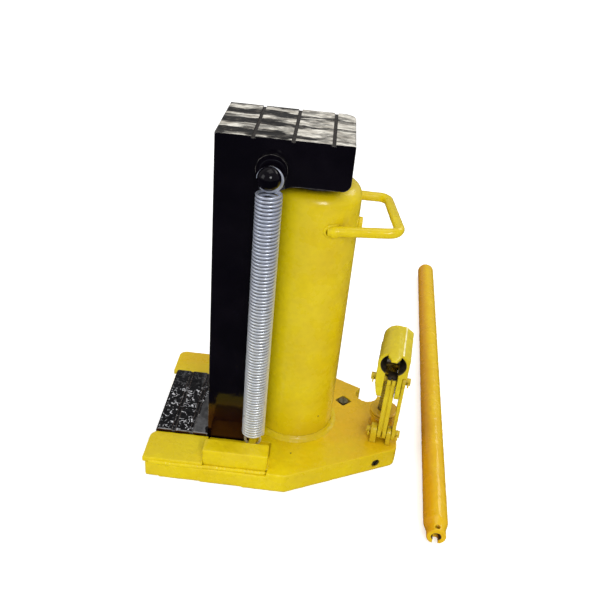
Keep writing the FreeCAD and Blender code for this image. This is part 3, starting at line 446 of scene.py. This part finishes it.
def weld(name, points, radius, material, body="jack_body", ripple=0.0042,
         seed=0.0, closed=False):
    """A weld bead: overlapping ripples, a wandering line and uneven thickness."""
    length, centres, radii = 0.0, [], []
    for i, point in enumerate(points):
        if i:
            length += (point - points[i - 1]).length
        wander = noise.noise_vector(Vector((length * 90, seed, 0.0)))
        scallop = abs(math.sin(math.pi * length / ripple))
        swell = noise.noise(Vector((length * 130, seed, 3.0)))
        centres.append(point + wander * radius * 0.22)
        radii.append(radius * (0.80 + 0.20 * scallop + 0.22 * swell))
    if not closed:
        for i in range(3):
            radii[i] *= 0.45 + 0.2 * i
            radii[-1 - i] *= 0.45 + 0.2 * i
    made = swept(centres, radii, closed=closed)
    return finish_piece(name, made, material, body)


def soften(node, voxel, lump, smooth=2):
    """Rounds a CAD node's edges and makes its skin slightly uneven, as thick paint does."""
    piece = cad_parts[node]
    shape = piece.modifiers.new("paint", "REMESH")
    shape.mode = "VOXEL"
    shape.voxel_size = voxel
    shape.use_smooth_shade = True
    relax = piece.modifiers.new("flow", "SMOOTH")
    relax.factor = 0.5
    relax.iterations = smooth
    clouds = bpy.data.textures.new(node + "_lumps", "CLOUDS")
    clouds.noise_scale = LUMP_SIZE
    clouds.noise_depth = 1
    swell = piece.modifiers.new("lumps", "DISPLACE")
    swell.texture = clouds
    swell.texture_coords = "LOCAL"
    swell.strength = lump
    swell.mid_level = 0.5


def dress(nodes, material):
    for node in nodes:
        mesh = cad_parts[node].data
        mesh.materials.clear()
        mesh.materials.append(material)


# ---------------------------------------------------------------- places that materials need

pump_centre = (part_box("pump_gland_nut")[0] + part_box("pump_gland_nut")[1]) / 2
plug_centre = (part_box("oil_plug")[0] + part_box("oil_plug")[1]) / 2
plate_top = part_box("base_plate")[1].z
head_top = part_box("lift_carriage")[1].z
PUMP_YAW = math.radians(7.5)
SOCKET_Z, RIDGE_OUT, RIDGE_UP = 137 * MM, 8.6 * MM, 14.6 * MM
LEVER_TURN = math.radians(3.9)
LEVER_TIP = Vector((155.6, -148.5, 12.5)) * MM
BORE_RADIUS, BORE_DEEP = 13.7 * MM, 13.6 * MM
SOCKET_SHADE_RADIUS, SOCKET_SHADE_DEEP = 23 * MM, 60 * MM
TIP_RADIUS, TIP_DEEP = 5.2 * MM, 60 * MM
WELL_RADIUS = 10.5 * MM
pump_along = Vector((math.sin(PUMP_YAW), math.cos(PUMP_YAW), 0))
pump_across = Vector((math.cos(PUMP_YAW), -math.sin(PUMP_YAW), 0))
lever_along = Vector((math.sin(LEVER_TURN), math.cos(LEVER_TURN), 0))
socket_middle = Vector((pump_centre.x, pump_centre.y, SOCKET_Z))
ridge_point = socket_middle + pump_across * RIDGE_OUT + Vector((0, 0, RIDGE_UP))


# ---------------------------------------------------------------- materials

YELLOW, YELLOW_DEEP = (0.80, 0.62, 0.006), (0.70, 0.50, 0.004)
# Jacket: painted light on faces that look to -X.
body_paint = enamel("jacket_enamel", YELLOW, YELLOW_DEEP, rough=0.26, lumps=0.35,
                    side_light_and_shade=(1.0, 0.80, 0.008))
# Base: painted warm light on faces that look up, weak soiling and painted shade in corners, a darkened
# hollow round the plug.
base_paint = enamel("base_enamel", (0.88, 0.69, 0.006), (0.78, 0.57, 0.004),
                    top_light_colour=(0.80, 0.50, 0.006), rough=0.24, dirt_and_shade_share=0.3,
                    well=(plug_centre, WELL_RADIUS, plate_top))
# Socket: stained inside of the bore, and a painted highlight along the ridge.
socket_paint = enamel(
    "socket_enamel", (0.78, 0.64, 0.020), (0.64, 0.49, 0.012), rough=0.16, lumps=1.5,
    bore=(socket_middle, pump_along, BORE_RADIUS, BORE_DEEP, (0.06, 0.045, 0.025)),
    ridge=(ridge_point, pump_along, (1.0, 0.93, 0.50)))
# Pump parts: the bore colour here is painted shade where they sit inside the socket.
pump_paint = enamel("pump_enamel", (0.78, 0.62, 0.020), (0.64, 0.45, 0.012), rough=0.18, lumps=1.5,
                    bore=(socket_middle, pump_along, SOCKET_SHADE_RADIUS, SOCKET_SHADE_DEEP, (0.035, 0.022, 0.010)))
# Nut: strong soiling and painted shade in its corners.
nut_paint = enamel("nut_enamel", (0.78, 0.50, 0.012), (0.62, 0.33, 0.010), rough=0.2, lumps=1.5,
                   dirt_and_shade_share=1.0)
# Lever: painted shade on faces that look to -X, rusty inside its tip.
lever_paint = enamel("lever_enamel", (0.86, 0.58, 0.008), (0.80, 0.48, 0.006), rough=0.20,
                     lumps=0.6, side_light_and_shade=(0.68, 0.31, 0.004), coat=0.08,
                     bore=(LEVER_TIP, lever_along, TIP_RADIUS, TIP_DEEP, (0.11, 0.04, 0.015)))
# Carriage: edges partly worn and partly painted glints; head top bands partly worn and partly painted
# reflection.
black = black_enamel("carriage_enamel", top=head_top)
# Stud: light edges partly worn paint and partly painted glints.
black_ball = black_enamel("stud_enamel", wear_and_glints=0.7, mirror=0.22)
# Zinc wire, painted darker and bluer towards its top as shade.
zinc = metal("zinc_wire", (0.97, 0.99, 1.0), (0.88, 0.93, 1.0), 0.36, 300,
             tarnish=(0.55, 0.55, 0.66), tarnish_share=0.15, share=0.68,
             upper=(0.76, 0.78, 0.88))
bright = metal("turned_steel", (0.66, 0.66, 0.64), (0.44, 0.43, 0.42), 0.30, 700)
stained = metal("stained_steel", (0.40, 0.36, 0.20), (0.22, 0.19, 0.10), 0.34, 500,
                tarnish=(0.10, 0.08, 0.04))
honed = metal("chromed_ram", (0.82, 0.83, 0.85), (0.72, 0.73, 0.76), 0.10, 300,
              stretch=(1, 1, 0.2), tarnish_share=0.1)
oily = metal("oiled_steel", (0.36, 0.35, 0.33), (0.22, 0.21, 0.20), 0.28, 420)
seal = rubber("seal_rubber")


# ---------------------------------------------------------------- materials and soft edges of the nodes

dress(("jacket_tube", "jacket_weld", "carry_handle", "filler_plug"), body_paint)
dress(("base_plate", "fork_cap_near", "fork_cap_far", "guide_block_near", "guide_block_far",
       "spring_anchor_near", "spring_anchor_far"), base_paint)
dress(("lever_socket",), socket_paint)
dress(("fulcrum_link", "link_strap", "fulcrum_pin", "fulcrum_pin_cotters", "plunger_pin",
       "plunger_pin_clips", "lower_link_pin", "lower_link_pin_cotters", "link_lug_left",
       "link_lug_right"), pump_paint)
dress(("pump_barrel", "pump_gland_nut"), nut_paint)
dress(("pump_lever",), lever_paint)
dress(("lift_carriage",), black)
dress(("spring_stud_near", "spring_stud_far"), black_ball)
dress(("gallery_stopper", "check_ball", "check_spring", "release_ball"), bright)
dress(("oil_plug", "release_valve"), stained)
dress(("lifting_ram",), honed)
dress(("pressure_barrel", "cylinder_gland", "piston", "pump_plunger"), oily)
dress(("rod_seal", "wiper_ring", "piston_seal", "pump_packing"), seal)

for node, voxel, lump in (
        ("base_plate", 1.2, 0.5), ("fork_cap_near", 0.8, 0.5), ("fork_cap_far", 0.8, 0.5),
        ("guide_block_near", 0.8, 0.5), ("guide_block_far", 0.8, 0.5),
        ("jacket_weld", 0.8, 0.8), ("carry_handle", 0.7, 0.5), ("lever_socket", 0.7, 0.5),
        ("filler_plug", 0.5, 0.4), ("fulcrum_link", 0.6, 0.4), ("link_strap", 0.5, 0.6),
        ("link_lug_left", 0.6, 0.7), ("link_lug_right", 0.6, 0.7), ("pump_lever", 0.8, 0.5)):
    soften(node, voxel * MM, lump * MM)
soften("pump_gland_nut", 0.4 * MM, 0.3 * MM, smooth=1)


# ---------------------------------------------------------------- springs

WIRE = 1.38 * MM
LOOP_LOW, LOOP_HIGH = 8.2 * MM, 11.0 * MM
TURN_STEPS, WIRE_SIDES = 26, 8
TIGHT_PITCH, OPEN_PITCH, PITCH_GROWTH = 3.35 * MM, 3.65 * MM, 1.35
LOOP_STEPS, LOOP_SWEEP, LOOP_START = 40, 5.3, 2.2
RUN_STEPS, PULL_UP, PULL_DOWN = 10, 22 * MM, 18 * MM


def bridge(a, along_a, b, along_b, pull):
    """Points of a smooth run from a to b that leaves and arrives along given directions."""
    points = []
    for i in range(1, RUN_STEPS):
        t = i / RUN_STEPS
        points.append(a * (2 * t**3 - 3 * t**2 + 1) + along_a * pull * (t**3 - 2 * t**2 + t)
                      + b * (3 * t**2 - 2 * t**3) + along_b * pull * (t**3 - t**2))
    return points


def hook(centre, radius, start):
    """Points round a loop that stands in the XZ plane, from its start angle."""
    angles = [start + LOOP_SWEEP * i / LOOP_STEPS for i in range(LOOP_STEPS + 1)]
    points = [centre + Vector((math.cos(a), 0, math.sin(a))) * radius for a in angles]
    return points, Vector((-math.sin(start), 0, math.cos(start)))


def make_spring(side):
    """A wound spring with a loop at each end, running from body to head."""
    low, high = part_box("return_spring_" + side)
    middle = (low + high) / 2
    coil_radius = (high.x - low.x) / 2 - WIRE
    coil_low = low.z + 2 * (LOOP_LOW + WIRE)
    coil_high = high.z - 2 * (LOOP_HIGH + WIRE)
    tall = coil_high - coil_low
    centre = Vector((middle.x, middle.y, 0))
    points, z, turn = [], coil_low, 0.0
    while z < coil_high:
        points.append(centre + Vector((math.cos(turn) * coil_radius,
                                       math.sin(turn) * coil_radius, z)))
        share = (z - coil_low) / tall
        pitch = TIGHT_PITCH + (OPEN_PITCH - TIGHT_PITCH) * min(1.0, PITCH_GROWTH * share)
        turn += 2 * math.pi / TURN_STEPS
        z += pitch / TURN_STEPS
    above = Vector((middle.x, middle.y, high.z - WIRE - LOOP_HIGH))
    below = Vector((middle.x, middle.y, low.z + WIRE + LOOP_LOW))
    loop_up, leave_up = hook(above, LOOP_HIGH, -LOOP_START)
    loop_down, leave_down = hook(below, LOOP_LOW, LOOP_START)
    last, first = points[-1], points[0]
    run_up = bridge(last, (last - points[-2]).normalized(), loop_up[0], leave_up, PULL_UP)
    run_down = bridge(first, (first - points[1]).normalized(), loop_down[0], leave_down,
                      PULL_DOWN)
    line = loop_down[::-1] + run_down[::-1] + points + run_up + loop_up
    made = swept(line, [WIRE] * len(line), WIRE_SIDES)
    piece = finish_piece("wound_spring_" + side, made, zinc, None)
    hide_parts("return_spring_" + side)
    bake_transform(piece)


for side, _ in NEAR_FAR:
    make_spring(side)


# ---------------------------------------------------------------- rough toe

SKIN_STEP, SKIN_DEPTH = 0.9 * MM, 1.2 * MM


def skin(name, x_range, y_range, top, height, material):
    """A thin closed sheet over a flat top: height gives the rise over the top at each place."""
    made = bmesh.new()
    nx = round((x_range[1] - x_range[0]) / SKIN_STEP)
    ny = round((y_range[1] - y_range[0]) / SKIN_STEP)
    layers = []
    for layer in (0, 1):
        rows = []
        for i in range(nx + 1):
            x = x_range[0] + (x_range[1] - x_range[0]) * i / nx
            row = []
            for j in range(ny + 1):
                y = y_range[0] + (y_range[1] - y_range[0]) * j / ny
                rise = height(x, y)
                if i in (0, nx) or j in (0, ny):
                    rise = min(rise, 0.0)
                row.append(made.verts.new((x, y, top + rise - layer * SKIN_DEPTH)))
            rows.append(row)
        layers.append(rows)
    for layer, rows in enumerate(layers):
        for a, b in zip(rows, rows[1:]):
            for j in range(ny):
                face = (a[j], b[j], b[j + 1], a[j + 1])
                made.faces.new(face if layer == 0 else face[::-1])
    upper, lower = layers
    rim = [(i, 0) for i in range(nx)] + [(nx, j) for j in range(ny)]
    rim += [(i, ny) for i in range(nx, 0, -1)] + [(0, j) for j in range(ny, 0, -1)]
    for (i, j), (k, l) in zip(rim, rim[1:] + rim[:1]):
        made.faces.new((upper[i][j], lower[i][j], lower[k][l], upper[k][l]))
    return finish_piece(name, made, material, "carriage")


carriage_low, carriage_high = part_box("lift_carriage")
TOE_TIP, HEAD_FRONT = carriage_low.x, -92.6 * MM
TOE_TOP, TOE_CHAMFER, GROOVE_DEEP, GROOVE_HALF = 27 * MM, 2 * MM, 1.6 * MM, 1.7 * MM
SMOOTH_FROM = HEAD_FRONT - 12.5 * MM
TOE_GROOVES = (-130 * MM, -110 * MM)


def groove(x, places):
    """Depth of the grip grooves at x, with worn shoulders."""
    near = min(abs(x - place) for place in places)
    if near > GROOVE_HALF + 0.6 * MM:
        return 0.0
    if near < GROOVE_HALF - 0.3 * MM:
        return -GROOVE_DEEP + 0.05 * MM
    share = (near - GROOVE_HALF + 0.3 * MM) / (0.9 * MM)
    return (-GROOVE_DEEP + 0.05 * MM) * (1 - share)


def toe_height(x, y):
    rough = 1.0 if x < SMOOTH_FROM else 0.25
    lump = noise.noise(Vector((x * 260, y * 260, 0.3)))
    ridge = 1 - abs(noise.noise(Vector((x * 330, y * 330, 4.7)))) * 4
    return 0.08 * MM + rough * MM * (0.16 + 0.16 * lump + 0.22 * max(0.0, ridge)) \
        + groove(x, TOE_GROOVES) * (0.75 + 0.25 * noise.noise(Vector((y * 60, x * 60, 1.0))))


skin("toe_top_hammered", (TOE_TIP + TOE_CHAMFER, HEAD_FRONT + 0.4 * MM),
     (carriage_low.y + 0.3 * MM, carriage_high.y - 0.3 * MM), TOE_TOP, toe_height,
     hammered_toe("hammered_toe", TOE_TOP, SMOOTH_FROM))


# ---------------------------------------------------------------- weld beads

BEAD_STEP = 1.1 * MM
JACKET_RADIUS = 44 * MM
GRIP_HEIGHTS = {"near": 283 * MM, "far": 288 * MM}
GRIP_OUTLINE = ((24, 5.4), (15, 5.2), (12, 2.6), (11.4, 0), (12, -2.6), (15, -5.2), (24, -5.4))
FOOT_STEPS = 80


def fork_beads(side, sign):
    """Beads along the outer rim of cap and block, over the block's end, and between the two."""
    cap_low, cap_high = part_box("fork_cap_" + side)
    block_low, block_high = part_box("guide_block_" + side)
    cap_out = cap_high.y if sign > 0 else cap_low.y
    block_out = block_high.y if sign > 0 else block_low.y
    rim = cap_low.z + 0.6 * MM
    seam = [Vector((cap_low.x + 6 * MM, cap_out, rim)),
            Vector((cap_high.x, cap_out, rim)),
            Vector((block_low.x + 1 * MM, block_out + sign * 1.2 * MM, rim + 0.4 * MM)),
            Vector((block_high.x, block_out + sign * 1.0 * MM, rim + 0.4 * MM))]
    end = [Vector((block_high.x + 0.6 * MM, block_out, rim + 4.0 * MM)),
           Vector((block_high.x + 0.8 * MM, block_out - sign * 19 * MM, rim + 4.6 * MM))]
    joint = [Vector((cap_high.x, cap_out - sign * 1.0 * MM, cap_low.z + 1 * MM)),
             Vector((cap_high.x - 0.4 * MM, cap_out - sign * 0.8 * MM, cap_high.z + 0.2 * MM)),
             Vector((cap_high.x - 0.4 * MM, cap_out - sign * 20 * MM, cap_high.z + 0.2 * MM))]
    for name, corners, radius, seed in (("rim", seam, 2.5, 10.0), ("block", end, 1.7, 20.0),
                                        ("cap", joint, 1.1, 30.0)):
        weld(f"{name}_weld_{side}", walk(corners, BEAD_STEP), radius * MM, base_paint,
             seed=seed + sign)


def grip_bead(side, sign):
    """A U-shaped bead round the end of the handle where it meets the jacket."""
    outline = [Vector((x * MM, 0, z * MM)) for x, z in GRIP_OUTLINE]
    bead = []
    for point in walk(outline, 1 * MM):
        out = math.sqrt(JACKET_RADIUS**2 - point.x**2) + 0.3 * MM
        bead.append(Vector((point.x, sign * out, GRIP_HEIGHTS[side] + point.z)))
    weld("grip_weld_" + side, bead, 1.7 * MM, body_paint, seed=40.0 + sign)


def pump_bead():
    """A closed bead round the foot of the pump barrel."""
    barrel_low, barrel_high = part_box("pump_barrel")
    radius = (barrel_high.x - barrel_low.x) / 2
    foot = []
    for k in range(FOOT_STEPS):
        turn = 2 * math.pi * k / FOOT_STEPS
        foot.append(Vector((pump_centre.x + radius * math.cos(turn),
                            pump_centre.y + radius * math.sin(turn), plate_top + 0.8 * MM)))
    weld("pump_weld", foot, 1.9 * MM, nut_paint, seed=51.0, closed=True)


for side, sign in NEAR_FAR:
    fork_beads(side, sign)
for side, sign in NEAR_FAR:
    grip_bead(side, sign)
pump_bead()


# ---------------------------------------------------------------- studio and camera

def area_light(name, place, target, size, power, colour=(1, 1, 1), tall=None):
    lamp = bpy.data.lights.new(name, "AREA")
    lamp.shape = "RECTANGLE"
    lamp.size = size
    lamp.size_y = tall or size
    lamp.energy = power
    lamp.color = colour
    holder = bpy.data.objects.new(name, lamp)
    holder.location = place
    holder.rotation_euler = (Vector(target) - Vector(place)).to_track_quat("-Z", "Y").to_euler()
    bpy.context.scene.collection.objects.link(holder)


area_light("front_softbox", (0.55, -1.55, 1.35), (0, 0, 0.15), 0.55, 12)
area_light("left_softbox", (-1.7, -0.9, 1.1), (0, 0, 0.15), 1.0, 7)
area_light("back_softbox", (1.35, 1.25, 1.5), (0, 0, 0.15), 1.0, 7, (1.0, 0.97, 0.92), 0.6)
area_light("top_softbox", (0.1, 0.1, 2.0), (0, 0, 0), 1.2, 6, (1.0, 0.98, 0.94))

FLOOR = 8.0
FLOOR_GAP = 0.3 * MM


def make_floor():
    """A pale floor that looks white to the camera and dark in the jack's gloss."""
    mesh = bpy.data.meshes.new("floor")
    mesh.from_pydata([(-FLOOR, -FLOOR, 0), (FLOOR, -FLOOR, 0), (FLOOR, FLOOR, 0),
                      (-FLOOR, FLOOR, 0)], [], [(0, 1, 2, 3)])
    floor = bpy.data.objects.new("floor", mesh)
    floor.location.z = -FLOOR_GAP
    bpy.context.scene.collection.objects.link(floor)
    s = Shader("pale_floor")
    rays = s.node("ShaderNodeLightPath").outputs
    pale = s.mix(s.fit(s.noise(3, 2), 0.3, 0.7), (0.93, 0.93, 0.93), (0.90, 0.90, 0.905))
    s.set(Base_Color=s.mix(rays["Is Glossy Ray"], pale, (0.04, 0.04, 0.045)), Roughness=0.9,
          Specular_IOR_Level=0.0, Emission_Color=(1, 1, 1),
          Emission_Strength=s.math("MULTIPLY", rays["Is Camera Ray"], 0.5))
    mesh.materials.append(s.material)


def light_sky():
    """A white world, brighter to the camera and dimmer in reflections."""
    world = bpy.data.worlds.new("studio")
    bpy.context.scene.world = world
    sky = Nodes(world, "Background")
    rays = sky.node("ShaderNodeLightPath").outputs
    plain = sky.math("ADD", sky.math("MULTIPLY", rays["Is Glossy Ray"], -0.30), 0.60)
    seen = sky.math("MULTIPLY", rays["Is Camera Ray"], 0.38)
    sky.set(Strength=sky.math("ADD", seen, plain), Color=(1, 1, 1))


EYE = Vector((4.06, -623.9, 561.0)) * MM
ELEVATION, AZIMUTH, ROLL = math.radians(31.41), math.radians(0.89), math.radians(5.78)
LENS, SENSOR = 41.47, 36.0


def place_camera():
    """The view that the jack is seen in."""
    look = Vector((-math.sin(AZIMUTH) * math.cos(ELEVATION),
                   math.cos(AZIMUTH) * math.cos(ELEVATION), -math.sin(ELEVATION)))
    lens = bpy.data.cameras.new("camera")
    lens.lens = LENS
    lens.sensor_width = SENSOR
    camera = bpy.data.objects.new("camera", lens)
    turn = look.to_track_quat("-Z", "Y").to_matrix() @ Matrix.Rotation(ROLL, 3, "Z")
    camera.matrix_world = Matrix.Translation(EYE) @ turn.to_4x4()
    bpy.context.scene.collection.objects.link(camera)
    bpy.context.scene.camera = camera


make_floor()
light_sky()
place_camera()
bpy.context.scene.view_settings.view_transform = "Standard"

bpy.context.view_layer.update()
